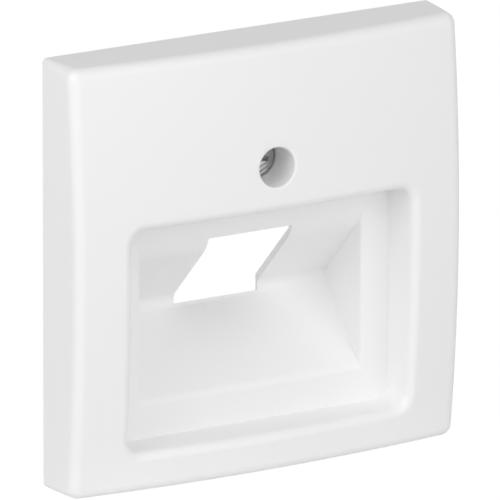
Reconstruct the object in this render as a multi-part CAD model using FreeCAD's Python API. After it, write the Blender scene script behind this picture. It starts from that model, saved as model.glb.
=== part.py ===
import FreeCAD, Part
import math
import os

from FreeCAD import Vector

# Centre plate of a one-way data outlet: a crowned square moulding that covers the outlet in the wall,
# with a stepped recess whose slanted opening lets a plug into the jack behind it.
# A captive screw, sunk in the plate, fixes it to the outlet's carrier.
#
# Millimetres. The origin is the centre of the rear rim, X runs to the right, Z up, and the front faces -Y.

# The plate
plate_side = 63.0
crown_height = 11.95
crown_radius = 255.0
front_edge_radius = 1.75
corner_extra_radius = 0.15
rear_corner_radius = 0.7
rear_edge_radius = 0.2
front_wall = 2.0
side_wall = 1.8

# The recess, set in from the plate's edges at its floor; its walls lean outwards by the draft
recess_side_margin = 8.9
recess_top_margin = 24.25
recess_bottom_margin = 6.15
recess_floor_height = 4.25
recess_corner_radius = 2.2
recess_rim_radius = 1.3
recess_draft = 2.0
recess_wall = 1.3

# The V-shaped pocket in the recess floor, set in from the recess walls; its slopes lean from the upright
pocket_side_margin = 4.55
pocket_top_margin = 5.4
pocket_bottom_margin = 5.3
pocket_slope = 45.0
pocket_brow_radius = 6.0
pocket_sill_radius = 2.0
pocket_valley_radius = 1.7
pocket_end_radius = 0.5
pocket_edge_break = 4.0
pocket_wall = 1.0

# The outlet through the pocket's upper slope, and the flat behind it for the jack's face
outlet_width = 13.7
outlet_rise = 0.7
outlet_dip = 0.6
outlet_lip_fall = 25.0
jack_seat_wall = 0.45
jack_seat_margin = 1.2

# The screw, and the sunk bore and narrow neck that hold it captive
screw_above_recess = 6.7
screw_sink = 5.5
head_diameter = 5.5
head_height = 2.0
head_edge_radius = 0.3
head_clearance = 0.12
head_float = 0.05
waist_diameter = 2.4
waist_clearance = 0.08
captive_play = 3.95
thread_diameter = 3.0
thread_length = 6.5
thread_chamfer = 0.4
slot_width = 0.9
slot_depth = 1.1
slot_angle = 79.0
cross_width = 0.7
cross_reach = 3.4
bore_edge_radius = 0.3
neck_length = 1.5
boss_wall = 1.3

# Ribs behind the front, from the boss to the side walls and the top wall
rib_thickness = 1.0
rib_height = 3.0

# How far a cut runs past the face that it opens, and how exactly a point has to lie on a face
overcut = 2.0
tolerance = 0.001

# Places worked out from the sizes above
half = plate_side / 2
ball_centre = Vector(0, crown_radius - crown_height, 0)
recess_half = half - recess_side_margin
recess_top = half - recess_top_margin
recess_bottom = recess_bottom_margin - half
recess_floor = -recess_floor_height
pocket_half = recess_half - pocket_side_margin
pocket_top = recess_top - pocket_top_margin
pocket_bottom = recess_bottom + pocket_bottom_margin
slope = math.radians(pocket_slope)
edge_break = math.radians(pocket_edge_break)
draft = math.radians(recess_draft)
screw_z = recess_top + screw_above_recess


def crown_depth(x, z, radius):
    """Depth of a ball of that radius about the crown's centre, at one point of the front."""
    return ball_centre.y - math.sqrt(radius**2 - x**2 - z**2)


front_corner_radius = front_edge_radius + corner_extra_radius
corner_growth = (rear_corner_radius - front_corner_radius) / crown_depth(half, half, crown_radius)
head_top = crown_depth(0, screw_z, crown_radius) + screw_sink
head_base = head_top + head_height
seat = head_base + head_float
neck_end = seat + neck_length
thread_start = neck_end + captive_play
thread_end = thread_start + thread_length
bore_radius = head_diameter / 2 + head_clearance
boss_radius = bore_radius + boss_wall


def rounded_block(left, right, bottom, top, front, rear, radius):
    """Block with its four edges along the depth rounded."""
    block = Part.makeBox(right - left, rear - front, top - bottom, Vector(left, front, bottom))
    return block.makeFillet(radius, [edge for edge in block.Edges if edge.BoundBox.YLength > tolerance])


def barrel(radius, start, end):
    """Cylinder on the screw's axis between two depths."""
    return Part.makeCylinder(radius, end - start, Vector(0, start, screw_z), Vector(0, 1, 0))


def middle(edge):
    return edge.valueAt((edge.FirstParameter + edge.LastParameter) / 2)


def edges_on_crown(shape, left, right, bottom, top):
    """Edges of the shape on the crowned front, inside a window of it."""
    found = []
    for edge in shape.Edges:
        point = middle(edge)
        ends = [edge.valueAt(edge.FirstParameter), point, edge.valueAt(edge.LastParameter)]
        on_ball = all(abs((end - ball_centre).Length - crown_radius) < tolerance for end in ends)
        if on_ball and left < point.x < right and bottom < point.z < top:
            found.append(edge)
    return found


def edges_at_depth(shape, depth):
    """Edges of the shape that lie in one plane parallel to the wall."""
    return [edge for edge in shape.Edges
            if abs(edge.BoundBox.YMin - depth) < tolerance and abs(edge.BoundBox.YMax - depth) < tolerance]


def on_circle(centre, radius, angle):
    """Point of the pocket's section on a circle, by its angle from the way into the wall."""
    return Vector(0, centre.y + radius * math.cos(angle), centre.z + radius * math.sin(angle))


def arc(centre, radius, start, end):
    points = [on_circle(centre, radius, angle) for angle in (start, (start + end) / 2, end)]
    return Part.Arc(*points).toShape()


def line(start, end):
    return Part.LineSegment(start, end).toShape()


def across(edges, half_width):
    """Solid of an upright section, as wide to the left as to the right."""
    face = Part.Face(Part.Wire(edges))
    face.translate(Vector(-half_width, 0, 0))
    return face.extrude(Vector(2 * half_width, 0, 0))


def valley_centre(top, bottom, radius):
    """Centre of the rounding at the bottom of a V between two heights of the recess floor."""
    apex = recess_floor + (top - bottom) / 2 * math.tan(slope)
    return Vector(0, apex - radius / math.cos(slope), (top + bottom) / 2)


def shoulder_centre(edge_height, radius, way_up):
    """Centre of the rounding where a slope leaves the recess floor: way_up is 1 at the brow, -1 at the sill.

    The rounding meets the floor at a slight angle, the edge break.
    """
    inset = radius * math.cos(edge_break)
    rise = (radius - inset * math.cos(slope)) / math.sin(slope)
    return Vector(0, recess_floor + inset, edge_height + way_up * rise)


def end_lip():
    """What the rounded edge at the pocket's right end leaves of a hollow that is wider by its radius."""
    centre = Vector(pocket_half + pocket_end_radius, recess_floor + pocket_end_radius, recess_bottom)
    side = centre - Vector(pocket_end_radius, 0, 0)
    top = centre - Vector(0, pocket_end_radius, 0)
    between = centre - Vector(pocket_end_radius, pocket_end_radius, 0) / math.sqrt(2)
    outer = top + Vector(overcut, 0, 0)
    outer_rear = outer + Vector(0, pocket_top - pocket_bottom, 0)
    side_rear = Vector(side.x, outer_rear.y, side.z)
    edges = [Part.Arc(side, between, top).toShape(), line(top, outer), line(outer, outer_rear),
             line(outer_rear, side_rear), line(side_rear, side)]
    return Part.Face(Part.Wire(edges)).extrude(Vector(0, 0, recess_top - recess_bottom))


def pocket_hollow():
    """The V-shaped hollow: a rounded brow, a slope down to the valley, a slope back to a rounded sill."""
    out = math.pi
    brow = shoulder_centre(pocket_top, pocket_brow_radius, 1)
    sill = shoulder_centre(pocket_bottom, pocket_sill_radius, -1)
    valley = valley_centre(pocket_top, pocket_bottom, pocket_valley_radius)
    brow_arc = arc(brow, pocket_brow_radius, out + edge_break, out + slope)
    valley_arc = arc(valley, pocket_valley_radius, slope, -slope)
    sill_arc = arc(sill, pocket_sill_radius, out - slope, out - edge_break)
    brow_start = on_circle(brow, pocket_brow_radius, out + edge_break)
    brow_end = on_circle(brow, pocket_brow_radius, out + slope)
    sill_start = on_circle(sill, pocket_sill_radius, out - slope)
    sill_end = on_circle(sill, pocket_sill_radius, out - edge_break)
    valley_start = on_circle(valley, pocket_valley_radius, slope)
    valley_end = on_circle(valley, pocket_valley_radius, -slope)
    ahead = Vector(0, -overcut, 0)
    edges = [
        brow_arc, line(brow_end, valley_start), valley_arc, line(valley_end, sill_start), sill_arc,
        line(sill_end, sill_end + ahead), line(sill_end + ahead, brow_start + ahead),
        line(brow_start + ahead, brow_start),
    ]
    hollow = across(edges, pocket_half + pocket_end_radius)
    lip = end_lip()
    return hollow.cut([lip, lip.mirror(Vector(), Vector(1, 0, 0))])


def pocket_hull():
    """Outside of the pocket's walls, a ridge that stands out behind the recess floor."""
    lift = pocket_wall / math.sin(slope)
    top = Vector(0, recess_floor, pocket_top + lift)
    bottom = Vector(0, recess_floor, pocket_bottom - lift)
    radius = pocket_valley_radius + pocket_wall
    ridge = valley_centre(top.z, bottom.z, radius)
    edges = [
        line(bottom, top), line(top, on_circle(ridge, radius, slope)),
        arc(ridge, radius, slope, -slope), line(on_circle(ridge, radius, -slope), bottom),
    ]
    return across(edges, pocket_half + pocket_wall)


def outlet_cut():
    """Way through the pocket's upper slope, with the flat behind the valley where the jack's face lies."""
    valley = valley_centre(pocket_top, pocket_bottom, pocket_valley_radius)
    deepest = valley.y + pocket_valley_radius
    low = valley.z - outlet_dip
    high = pocket_top + outlet_rise
    front = recess_floor - overcut
    rear = deepest + pocket_wall + overcut
    fall = (rear - deepest) * math.tan(math.radians(outlet_lip_fall))
    corners = [Vector(0, front, low), Vector(0, deepest, low), Vector(0, rear, low - fall),
               Vector(0, rear, high), Vector(0, front, high)]
    way = across([line(*ends) for ends in zip(corners, corners[1:] + corners[:1])], outlet_width / 2)
    flat_half = outlet_width / 2 + jack_seat_margin
    flat_depth = deepest + jack_seat_wall
    flat_bottom = low - jack_seat_margin
    flat = Part.makeBox(2 * flat_half, rear - flat_depth, high - flat_bottom,
                        Vector(-flat_half, flat_depth, flat_bottom))
    return way.fuse(flat)


def recess_block(front, rear, wall):
    """Block with the recess's leaning walls, that much larger all round."""
    half_width = recess_half + wall
    bottom = recess_bottom - wall
    top = recess_top + wall
    lean = (rear - front) * math.tan(draft)
    block = Part.makeWedge(-half_width - lean, front, bottom - lean, bottom, -half_width,
                           half_width + lean, rear, top + lean, top, half_width)
    corners = [edge for edge in block.Edges if edge.BoundBox.YLength > tolerance]
    return block.makeFillet(recess_corner_radius + wall, corners)


def recess_hollow():
    """The stepped recess, down to its flat floor."""
    return recess_block(-crown_height - overcut, recess_floor, 0)


def recess_tub():
    """Outside of the recess's walls and floor, behind the front."""
    return recess_block(-crown_height, recess_floor + recess_wall, recess_wall)


def crowned_block():
    """The plate's outside as a solid block: a ball-shaped front, and corners that grow rounder towards it."""
    front = -crown_height - overcut
    block = Part.makeBox(plate_side, -front, plate_side, Vector(-half, front, -half))
    corners = [edge for edge in block.Edges if edge.BoundBox.YLength > tolerance]
    block = block.makeFillet(rear_corner_radius - corner_growth * front, rear_corner_radius, corners)
    block = block.common(Part.makeSphere(crown_radius, ball_centre))
    edge = half + overcut
    block = block.makeFillet(front_edge_radius, edges_on_crown(block, -edge, edge, -edge, edge))
    return block.makeFillet(rear_edge_radius, edges_at_depth(block, 0))


def ribs():
    """Ribs that tie the screw's boss to the side walls and to the top wall."""
    front = -crown_height
    depth = crown_depth(half, screw_z, crown_radius - front_wall) + rib_height - front
    level = Part.makeBox(plate_side, depth, rib_thickness, Vector(-half, front, screw_z - rib_thickness / 2))
    upright = Part.makeBox(rib_thickness, depth, half - screw_z, Vector(-rib_thickness / 2, front, screw_z))
    return level.fuse(upright)


def rear_hollow():
    """The space behind the front, round the recess, the pocket, the boss and the ribs."""
    inner = half - side_wall
    space = rounded_block(-inner, inner, -inner, inner, -crown_height, overcut, rear_corner_radius)
    space = space.common(Part.makeSphere(crown_radius - front_wall, ball_centre))
    boss = barrel(boss_radius, -crown_height, neck_end)
    return space.cut([recess_tub(), pocket_hull(), boss, ribs()])


def sunk_bore():
    """Bore for the screw's head, and the neck behind it that the thread can't slip through."""
    mouth = barrel(bore_radius, -crown_height - overcut, seat)
    neck = barrel(waist_diameter / 2 + waist_clearance, seat, neck_end + overcut)
    return mouth.fuse(neck)


def make_plate():
    plate = crowned_block().cut(recess_hollow())
    rim = edges_on_crown(plate, -recess_half - recess_rim_radius, recess_half + recess_rim_radius,
                         recess_bottom - recess_rim_radius, recess_top + recess_rim_radius)
    plate = plate.makeFillet(recess_rim_radius, rim).cut(sunk_bore())
    mouth = edges_on_crown(plate, -boss_radius, boss_radius, screw_z - boss_radius, screw_z + boss_radius)
    plate = plate.makeFillet(bore_edge_radius, mouth)
    plate = plate.fuse(pocket_hull()).cut([rear_hollow(), pocket_hollow(), outlet_cut()])
    return plate.removeSplitter()


def make_screw():
    """Screw with a slot and a cross in its head and a waisted shank, with its head on the seat of the bore."""
    head = barrel(head_diameter / 2, head_top, head_base)
    head = head.makeFillet(head_edge_radius, edges_at_depth(head, head_top))
    waist = barrel(waist_diameter / 2, head_base, thread_start)
    thread = barrel(thread_diameter / 2, thread_start, thread_end)
    ends = edges_at_depth(thread, thread_start) + edges_at_depth(thread, thread_end)
    thread = thread.makeChamfer(thread_chamfer, ends)
    slot_reach = head_diameter + overcut
    front = head_top - overcut
    slot = Part.makeBox(slot_reach, slot_depth + overcut, slot_width,
                        Vector(-slot_reach / 2, front, screw_z - slot_width / 2))
    cross = Part.makeBox(cross_width, slot_depth + overcut, cross_reach,
                         Vector(-cross_width / 2, front, screw_z - cross_reach / 2))
    drive = slot.fuse(cross)
    drive.rotate(Vector(0, 0, screw_z), Vector(0, 1, 0), -slot_angle)
    return head.fuse([waist, thread]).cut(drive)


os.makedirs("parts", exist_ok=True)
make_plate().exportStep("parts/centre_plate.step")
make_screw().exportStep("parts/fixing_screw.step")
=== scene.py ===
from math import cos, pi, radians, sin

import bmesh
import bpy
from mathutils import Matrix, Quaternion, Vector


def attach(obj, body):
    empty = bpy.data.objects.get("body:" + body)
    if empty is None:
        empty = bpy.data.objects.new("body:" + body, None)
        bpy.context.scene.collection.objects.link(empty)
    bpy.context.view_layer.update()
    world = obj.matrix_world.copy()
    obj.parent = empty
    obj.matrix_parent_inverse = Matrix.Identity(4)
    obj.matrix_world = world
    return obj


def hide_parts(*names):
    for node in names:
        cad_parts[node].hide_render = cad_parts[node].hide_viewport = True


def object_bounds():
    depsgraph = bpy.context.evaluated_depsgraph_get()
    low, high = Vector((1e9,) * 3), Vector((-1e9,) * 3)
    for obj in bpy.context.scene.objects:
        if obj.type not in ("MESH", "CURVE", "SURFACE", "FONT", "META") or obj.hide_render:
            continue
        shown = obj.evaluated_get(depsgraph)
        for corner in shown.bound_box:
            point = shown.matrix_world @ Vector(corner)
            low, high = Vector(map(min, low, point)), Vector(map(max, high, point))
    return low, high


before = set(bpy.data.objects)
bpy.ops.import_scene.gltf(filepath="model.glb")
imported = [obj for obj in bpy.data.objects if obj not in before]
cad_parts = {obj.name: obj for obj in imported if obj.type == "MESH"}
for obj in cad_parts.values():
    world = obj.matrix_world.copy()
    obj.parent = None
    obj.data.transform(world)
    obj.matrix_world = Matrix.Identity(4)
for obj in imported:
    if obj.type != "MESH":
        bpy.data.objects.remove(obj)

cad_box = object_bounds()
MM = 0.001

# Points of a mesh that are nearer to each other than this are one point.
MOULDING_MERGE = 0.002 * MM
THREAD_MERGE = 0.001 * MM
SCREW_MERGE = 0.005 * MM
# A point counts as at a depth if it is nearer to it than this.
AT_DEPTH = 0.01 * MM
# Faces that meet at less than this, in degrees, are shaded as one.
MOULDING_SMOOTH = 24
SCREW_SMOOTH = 30

# The captive M3 screw, along Y: a cheese head with a slot and a cross, a waist, and the thread.
SCREW_HEIGHT = 13.95 * MM
HEAD_FRONT = -6.07 * MM
HEAD_RADIUS = 2.75 * MM
HEAD_HEIGHT = 2.0 * MM
HEAD_EDGE = 0.3 * MM
WAIST_RADIUS = 1.2 * MM
THREAD_RADIUS = 1.5 * MM
THREAD_LENGTH = 6.5 * MM
THREAD_PITCH = 0.5 * MM
THREAD_CHAMFER = 0.45 * MM
TOOTH_ROOT = 0.75 * THREAD_PITCH
BAR_SIDES = 64
HELIX_STEPS = 32
# Turns of the helix before and after the thread, which are cut off.
SPARE_TURNS = 2
# The waist reaches into the thread, and the bar that trims the thread stands proud of it, so that
# no two faces coincide where solids are combined.
WAIST_OVERLAP = 0.06 * MM
TRIM_ALLOWANCE = 0.05 * MM

# The drive: its depth, and the width, the length and the turn in degrees of the slot and the cross.
DRIVE_DEPTH = 1.1 * MM
DRIVE_CUTS = ((0.9 * MM, 6.5 * MM, 79), (0.7 * MM, 3.4 * MM, 169))

# Painted highlight stripes on the head: how far apart they are, and their turn in degrees from the
# level.
HIGHLIGHT_STRIPE_SPACING = 0.61 * MM
HIGHLIGHT_STRIPE_TURN = 27

# The studio, in metres. Each lamp has a name, its turn to the left and its rise above the level in
# degrees, and its watts.
FLOOR_SIZE = 6.0
FILL_LEVEL = 0.288
LAMP_DISTANCE = 1.2
LAMP_SIZE = 0.8
LAMPS = (
    ("right_low", -20, 5, 3.22),
    ("right_high", -20, 45, 1.3),
    ("right_top", -20, 65, 0.6),
    ("front_left", 20, 25, 2.55),
    ("left", 70, 25, 3.16),
    ("left_side", 85, 25, 2.8),
)

# The camera, fitted to the outline: focal length in mm, angles in degrees, and what it aims at,
# to the right of and above the origin as it sees them.
FOCAL_LENGTH = 737.4
CAMERA_TURN = 30.131
CAMERA_RISE = 16.757
CAMERA_ROLL = 0.195
CAMERA_DISTANCE = 1454.15 * MM
CAMERA_AIM = (1.904 * MM, -1.123 * MM, 0)


def linear(hex_colour):
    """Linear colour of an sRGB hex value."""
    parts = [int(hex_colour[i:i + 2], 16) / 255 for i in (0, 2, 4)]
    return [c / 12.92 if c <= 0.04045 else ((c + 0.055) / 1.055) ** 2.4 for c in parts] + [1]


def add_node(tree, kind, settings=None, links=None, **values):
    """One shader node: its settings, its sockets' values, and what its sockets are linked from."""
    node = tree.nodes.new(kind)
    for name, value in (settings or {}).items():
        setattr(node, name, value)
    for name, value in values.items():
        node.inputs[name.replace("_", " ")].default_value = value
    for socket, source in (links or {}).items():
        tree.links.new(source, node.inputs[socket])
    return node


def new_material(name):
    material = bpy.data.materials.new(name)
    material.use_nodes = True
    material.node_tree.nodes.clear()
    return material, material.node_tree


def select_only(piece):
    bpy.ops.object.select_all(action="DESELECT")
    piece.select_set(True)
    bpy.context.view_layer.objects.active = piece


def select_where(piece, kind, test):
    """Select only the faces, edges or vertices of the piece in edit mode that pass the test."""
    bpy.ops.mesh.select_all(action="DESELECT")
    shape = bmesh.from_edit_mesh(piece.data)
    for element in getattr(shape, kind):
        if test(element):
            element.select_set(True)
    shape.select_flush(True)
    bmesh.update_edit_mesh(piece.data)


def settle(piece):
    """Put the piece's place and turn into its mesh."""
    select_only(piece)
    bpy.ops.object.transform_apply(location=True, rotation=True, scale=True)


def combine(piece, other, operation):
    """Cut, join or trim the piece with another solid, which is then used up."""
    select_only(piece)
    step = piece.modifiers.new("combine", "BOOLEAN")
    step.operation = operation
    step.solver = "EXACT"
    step.object = other
    bpy.ops.object.modifier_apply(modifier=step.name)
    bpy.data.objects.remove(other)


def moulded_thermoplastic():
    """Injection-moulded white thermoplastic: satin, even, its fine grain only softens the gloss."""
    material, tree = new_material("moulded_thermoplastic")
    place = add_node(tree, "ShaderNodeTexCoord").outputs["Object"]
    # A fine mould's grain is about 0.1 mm. It is drawn at 0.35 mm so that it shows.
    grain = add_node(tree, "ShaderNodeTexNoise", links={"Vector": place},
                     Scale=1 / (0.35 * MM), Detail=2.0)
    relief = add_node(tree, "ShaderNodeBump", links={"Height": grain.outputs["Fac"]},
                      Strength=0.04, Distance=0.02 * MM)
    # Flow of the melt leaves the white very slightly uneven over a few centimetres.
    flow = add_node(tree, "ShaderNodeTexNoise", links={"Vector": place},
                    Scale=1 / (25 * MM), Detail=1.0)
    white = add_node(tree, "ShaderNodeValToRGB", links={"Fac": flow.outputs["Fac"]})
    white.color_ramp.elements[0].color = linear("f7f7f7")
    white.color_ramp.elements[1].color = linear("f9f9f9")
    plastic = add_node(tree, "ShaderNodeBsdfPrincipled",
                       links={"Base Color": white.outputs["Color"],
                              "Normal": relief.outputs["Normal"]},
                       Roughness=0.45, IOR=1.5)
    add_node(tree, "ShaderNodeOutputMaterial", links={"Surface": plastic.outputs["BSDF"]})
    return material


def zinc_plate():
    """Bright zinc plate on a turned steel screw: grey, with a fine turned grain, painted highlight
    stripes on the head's face, and a soft gloss.
    """
    material, tree = new_material("zinc_plate")
    place = add_node(tree, "ShaderNodeTexCoord").outputs["Object"]
    # Straight light stripes of painted highlight. A wave of scale 1 repeats every 2 pi / 20 m.
    level = cos(radians(HIGHLIGHT_STRIPE_TURN))
    along = add_node(tree, "ShaderNodeMapping", {"vector_type": "POINT"}, links={"Vector": place},
                     Rotation=(0, radians(HIGHLIGHT_STRIPE_TURN), 0), Location=(0, 0, -SCREW_HEIGHT * level))
    highlight_stripes = add_node(tree, "ShaderNodeTexWave", {"bands_direction": "Z"},
                     links={"Vector": along.outputs["Vector"]},
                     Scale=2 * pi / (20 * HIGHLIGHT_STRIPE_SPACING), Distortion=0.6, Detail=2.0,
                     Phase_Offset=0.67)
    # The painted highlight lies on the lower half of the head's face, where light falls, short of its
    # right edge.
    spot = add_node(tree, "ShaderNodeSeparateXYZ", links={"Vector": place})
    painted_highlight = highlight_stripes.outputs["Fac"]
    for axis, none, full in (("X", 1.6 * MM, 1.0 * MM),
                             ("Y", HEAD_FRONT + 0.5 * MM, HEAD_FRONT + 0.2 * MM),
                             ("Z", SCREW_HEIGHT, SCREW_HEIGHT - 0.5 * MM)):
        reach = add_node(tree, "ShaderNodeMapRange", links={"Value": spot.outputs[axis]},
                         From_Min=none, From_Max=full)
        share = add_node(tree, "ShaderNodeMath", {"operation": "MULTIPLY"},
                         links={0: painted_highlight, 1: reach.outputs["Result"]})
        painted_highlight = share.outputs[0]
    # Grey zinc, and near white where the painted highlight lies.
    tone = add_node(tree, "ShaderNodeValToRGB", links={"Fac": painted_highlight})
    tone.color_ramp.elements[0].color = linear("b4b4b4")
    tone.color_ramp.elements[1].color = linear("fafafa")
    # Turning leaves a fine grain all over.
    grain = add_node(tree, "ShaderNodeTexNoise", links={"Vector": place},
                     Scale=1 / (0.25 * MM), Detail=3.0)
    relief = add_node(tree, "ShaderNodeBump", links={"Height": grain.outputs["Fac"]},
                      Strength=0.15, Distance=0.02 * MM)
    metal = add_node(tree, "ShaderNodeBsdfPrincipled",
                     links={"Base Color": tone.outputs["Color"],
                            "Normal": relief.outputs["Normal"]},
                     Metallic=1.0, Roughness=0.35)
    add_node(tree, "ShaderNodeOutputMaterial", links={"Surface": metal.outputs["BSDF"]})
    return material


def plate_moulding():
    """The moulding: the solid's own mesh, joined and shaded as smooth faces between sharp edges."""
    plate = bpy.data.objects.new("plate_moulding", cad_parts["centre_plate"].data.copy())
    bpy.context.scene.collection.objects.link(plate)
    select_only(plate)
    # The normals that came with the loose triangles don't outlast the merging, so they are cleared.
    bpy.ops.mesh.customdata_custom_splitnormals_clear()
    bpy.ops.object.mode_set(mode="EDIT")
    bpy.ops.mesh.select_all(action="SELECT")
    bpy.ops.mesh.remove_doubles(threshold=MOULDING_MERGE)
    bpy.ops.object.mode_set(mode="OBJECT")
    bpy.ops.object.shade_smooth_by_angle(angle=radians(MOULDING_SMOOTH))
    weighting = plate.modifiers.new("weighting", "WEIGHTED_NORMAL")
    weighting.mode = "FACE_AREA"
    weighting.weight = 50
    weighting.keep_sharp = True
    bpy.ops.object.modifier_apply(modifier=weighting.name)
    plate.data.materials.clear()
    plate.data.materials.append(moulded_thermoplastic())
    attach(plate, "plate")
    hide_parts("centre_plate")


def rod(radius, length, start, height):
    """Round bar along Y, from a depth, at the screw's height."""
    bpy.ops.object.select_all(action="DESELECT")
    bpy.ops.mesh.primitive_cylinder_add(vertices=BAR_SIDES, radius=radius, depth=length,
                                        location=(0, start + length / 2, height),
                                        rotation=(radians(90), 0, 0))
    bar = bpy.context.object
    settle(bar)
    return bar


def soften_end(piece, depth, offset, segments):
    """Bevel the round edge of the piece that lies at one depth."""
    select_only(piece)
    bpy.ops.object.mode_set(mode="EDIT")
    select_where(piece, "edges",
                 lambda edge: all(abs(vertex.co.y - depth) < AT_DEPTH for vertex in edge.verts))
    bpy.ops.mesh.bevel(offset=offset, segments=segments)
    bpy.ops.object.mode_set(mode="OBJECT")


def screw_head(front, waist_end, height):
    """Head and waist: a turned bar, drawn in and out behind to the waist, with the drive cut in."""
    head = rod(HEAD_RADIUS, HEAD_HEIGHT, front, height)
    bpy.ops.object.mode_set(mode="EDIT")
    select_where(head, "faces", lambda face: face.normal.y > 0.9)
    bpy.ops.mesh.inset(thickness=HEAD_RADIUS - WAIST_RADIUS)
    waist_length = waist_end - front - HEAD_HEIGHT
    bpy.ops.mesh.extrude_region_move(TRANSFORM_OT_translate={"value": (0, waist_length, 0)})
    bpy.ops.object.mode_set(mode="OBJECT")
    soften_end(head, front, HEAD_EDGE, 4)
    for width, reach, turn in DRIVE_CUTS:
        bpy.ops.object.select_all(action="DESELECT")
        bpy.ops.mesh.primitive_cube_add(size=1, location=(0, front, height),
                                        rotation=(0, -radians(turn), 0),
                                        scale=(reach, 2 * DRIVE_DEPTH, width))
        cutter = bpy.context.object
        settle(cutter)
        combine(head, cutter, "DIFFERENCE")
    return head


def screw_thread(start, end, height):
    """Thread: one tooth drawn along a helix, cut off square and trimmed by a chamfered bar."""
    bpy.ops.object.select_all(action="DESELECT")
    bpy.ops.mesh.primitive_plane_add(size=THREAD_PITCH,
                                     location=(0, start - SPARE_TURNS * THREAD_PITCH, height))
    thread = bpy.context.object
    # Only the plane's edge at low X is kept. It is divided and becomes the tooth's outline.
    bpy.ops.object.mode_set(mode="EDIT")
    select_where(thread, "edges",
                 lambda edge: sum(vertex.co.x for vertex in edge.verts) < -0.9 * THREAD_PITCH)
    bpy.ops.mesh.select_all(action="INVERT")
    bpy.ops.mesh.delete(type="EDGE")
    bpy.ops.mesh.select_all(action="SELECT")
    bpy.ops.mesh.subdivide(number_cuts=7)
    shape = bmesh.from_edit_mesh(thread.data)
    for vertex in shape.verts:
        climb = 1 - abs(vertex.co.y) / (TOOTH_ROOT / 2)
        vertex.co.x = WAIST_RADIUS + max(climb, 0) * (THREAD_RADIUS - WAIST_RADIUS)
    bmesh.update_edit_mesh(thread.data)
    bpy.ops.object.mode_set(mode="OBJECT")
    helix = thread.modifiers.new("helix", "SCREW")
    helix.axis = "Y"
    helix.angle = 2 * pi
    helix.screw_offset = THREAD_PITCH
    helix.iterations = int(THREAD_LENGTH / THREAD_PITCH) + 2 * SPARE_TURNS
    helix.steps = HELIX_STEPS
    helix.render_steps = HELIX_STEPS
    helix.use_merge_vertices = True
    helix.merge_threshold = THREAD_MERGE
    bpy.ops.object.modifier_apply(modifier=helix.name)
    settle(thread)
    bpy.ops.object.mode_set(mode="EDIT")
    for depth, way in ((start - 0.5 * THREAD_PITCH, -1), (end + 0.5 * THREAD_PITCH, 1)):
        bpy.ops.mesh.select_all(action="SELECT")
        bpy.ops.mesh.bisect(plane_co=(0, depth, height), plane_no=(0, way, 0),
                            use_fill=True, clear_outer=True)
    bpy.ops.mesh.select_all(action="SELECT")
    bpy.ops.mesh.remove_doubles(threshold=THREAD_MERGE)
    bpy.ops.mesh.normals_make_consistent(inside=False)
    bpy.ops.object.mode_set(mode="OBJECT")
    trim = rod(THREAD_RADIUS + TRIM_ALLOWANCE, end - start, start, height)
    soften_end(trim, start, THREAD_CHAMFER, 1)
    soften_end(trim, end, THREAD_CHAMFER, 1)
    combine(thread, trim, "INTERSECT")
    return thread


def captive_screw():
    """The screw, in the place of its solid."""
    corners = [Vector(corner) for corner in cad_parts["fixing_screw"].bound_box]
    front = min(corner.y for corner in corners)
    end = max(corner.y for corner in corners)
    height = sum(corner.z for corner in corners) / len(corners)
    start = end - THREAD_LENGTH
    screw = screw_head(front, start + WAIST_OVERLAP, height)
    combine(screw, screw_thread(start, end, height), "UNION")
    screw.name = "captive_screw"
    bpy.ops.object.mode_set(mode="EDIT")
    bpy.ops.mesh.select_all(action="SELECT")
    bpy.ops.mesh.remove_doubles(threshold=SCREW_MERGE)
    bpy.ops.mesh.dissolve_degenerate(threshold=SCREW_MERGE)
    bpy.ops.mesh.select_all(action="SELECT")
    bpy.ops.mesh.quads_convert_to_tris(quad_method="BEAUTY", ngon_method="BEAUTY")
    bpy.ops.object.mode_set(mode="OBJECT")
    bpy.ops.object.shade_smooth_by_angle(angle=radians(SCREW_SMOOTH))
    screw.data.materials.clear()
    screw.data.materials.append(zinc_plate())
    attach(screw, "screw")
    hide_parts("fixing_screw")


def white_seen(tree):
    """1 for what is seen straight, reflected or through glass, 0 for light that falls on things."""
    path = add_node(tree, "ShaderNodeLightPath")
    seen = path.outputs["Is Camera Ray"]
    for ray in ("Is Glossy Ray", "Is Transmission Ray"):
        total = add_node(tree, "ShaderNodeMath", {"operation": "MAXIMUM"},
                         links={0: seen, 1: path.outputs[ray]})
        seen = total.outputs[0]
    return seen


def studio_floor():
    """A plain floor under the plate. It looks white, and it keeps a faint shadow of the plate."""
    bpy.ops.object.select_all(action="DESELECT")
    bpy.ops.mesh.primitive_plane_add(size=FLOOR_SIZE, location=(0, 0, cad_box[0][2]))
    floor = bpy.context.object
    floor.name = "studio_floor"
    material, tree = new_material("white_floor")
    pale = add_node(tree, "ShaderNodeBsdfDiffuse", Color=linear("f0f0f0"))
    # What is seen is a glow just short of white and a lit grey, which only the shadow takes away.
    faint = add_node(tree, "ShaderNodeBsdfDiffuse", Color=linear("8a8a8a"))
    glow = add_node(tree, "ShaderNodeEmission", Color=linear("ffffff"), Strength=0.88)
    sight = add_node(tree, "ShaderNodeAddShader",
                     links={0: faint.outputs["BSDF"], 1: glow.outputs["Emission"]})
    either = add_node(tree, "ShaderNodeMixShader",
                      links={"Fac": white_seen(tree), 1: pale.outputs["BSDF"],
                             2: sight.outputs["Shader"]})
    add_node(tree, "ShaderNodeOutputMaterial", links={"Surface": either.outputs["Shader"]})
    floor.data.materials.append(material)


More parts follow.
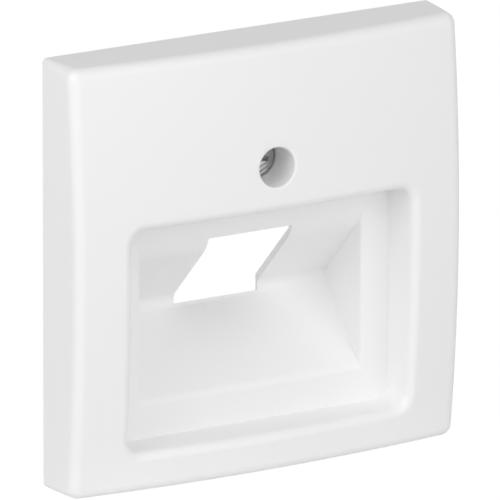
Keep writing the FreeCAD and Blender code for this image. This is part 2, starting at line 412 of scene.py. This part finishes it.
def studio_world():
    """Even light from all round, white to the eye."""
    world = bpy.data.worlds.new("studio")
    bpy.context.scene.world = world
    world.use_nodes = True
    tree = world.node_tree
    tree.nodes.clear()
    fill = add_node(tree, "ShaderNodeBackground", Color=linear("ffffff"), Strength=FILL_LEVEL)
    white = add_node(tree, "ShaderNodeBackground", Color=linear("ffffff"), Strength=1.0)
    either = add_node(tree, "ShaderNodeMixShader",
                      links={"Fac": white_seen(tree), 1: fill.outputs["Background"],
                             2: white.outputs["Background"]})
    add_node(tree, "ShaderNodeOutputWorld", links={"Surface": either.outputs["Shader"]})


def direction(turn, rise):
    """Unit vector from the plate to a place in front: turn to the left, rise above the level."""
    return Vector((-sin(radians(turn)) * cos(radians(rise)),
                   -cos(radians(turn)) * cos(radians(rise)),
                   sin(radians(rise))))


def soft_box(name, turn, rise, watts):
    """A square studio lamp that faces the plate."""
    lamp = bpy.data.lights.new(name, "AREA")
    lamp.shape = "SQUARE"
    lamp.size = LAMP_SIZE
    lamp.energy = watts
    box = bpy.data.objects.new(name, lamp)
    bpy.context.scene.collection.objects.link(box)
    away = direction(turn, rise)
    box.location = away * LAMP_DISTANCE
    box.rotation_mode = "QUATERNION"
    box.rotation_quaternion = away.to_track_quat("Z", "Y")


def studio_camera():
    """A long lens from the left and above, as far off as the photograph's weak perspective asks."""
    lens = bpy.data.cameras.new("camera")
    lens.sensor_width = 36
    lens.lens = FOCAL_LENGTH
    lens.clip_end = 20
    camera = bpy.data.objects.new("camera", lens)
    bpy.context.scene.collection.objects.link(camera)
    away = direction(CAMERA_TURN, CAMERA_RISE)
    turned = away.to_track_quat("Z", "Y") @ Quaternion((0, 0, 1), radians(CAMERA_ROLL))
    camera.location = turned @ Vector(CAMERA_AIM) + away * CAMERA_DISTANCE
    camera.rotation_mode = "QUATERNION"
    camera.rotation_quaternion = turned
    bpy.context.scene.camera = camera


plate_moulding()
captive_screw()
studio_floor()
studio_world()
for lamp in LAMPS:
    soft_box(*lamp)
studio_camera()

bpy.context.scene.view_settings.view_transform = "Standard"
